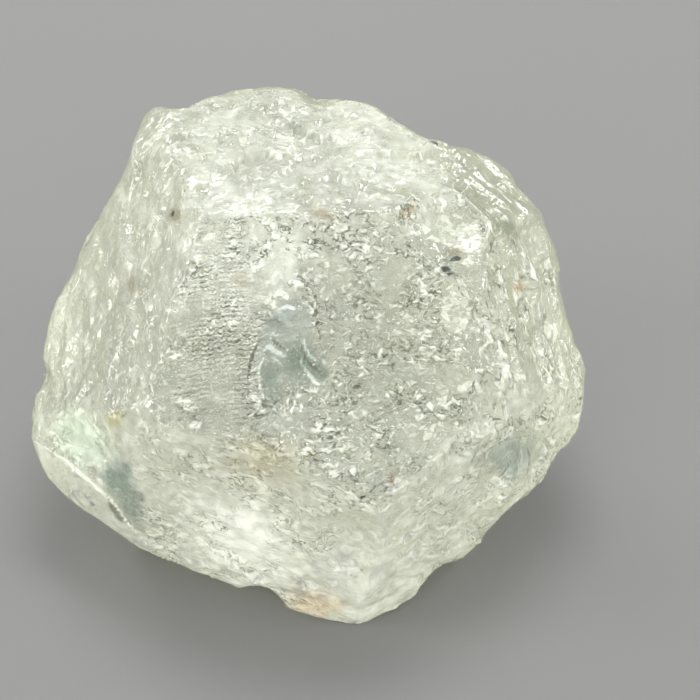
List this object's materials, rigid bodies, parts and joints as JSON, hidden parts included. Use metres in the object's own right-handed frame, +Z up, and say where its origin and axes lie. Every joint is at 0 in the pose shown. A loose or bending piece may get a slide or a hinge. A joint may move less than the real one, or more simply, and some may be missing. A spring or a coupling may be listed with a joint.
{
  "type": "topaz crystal",
  "caption": "Rough, pale, see-through crystal with blunt facets, etched faces, ledges and shell-shaped chips, lying on a flat cleavage face.",
  "frame": {"origin": "centre of the bounding box on the surface that the stone lies on, in the plane of its cleavage face", "axes": "+Z up from the cleavage face, +X to the right across the stone's widest way, -Y towards its front, whose broad face leans back"},
  "size_m": [0.032, 0.026, 0.0232],
  "materials": {
    "topaz": "etched, frosted with clear patches"
  },
  "bodies": {
    "root": {"topaz_crystal": "topaz"}
  },
  "joints": []
}
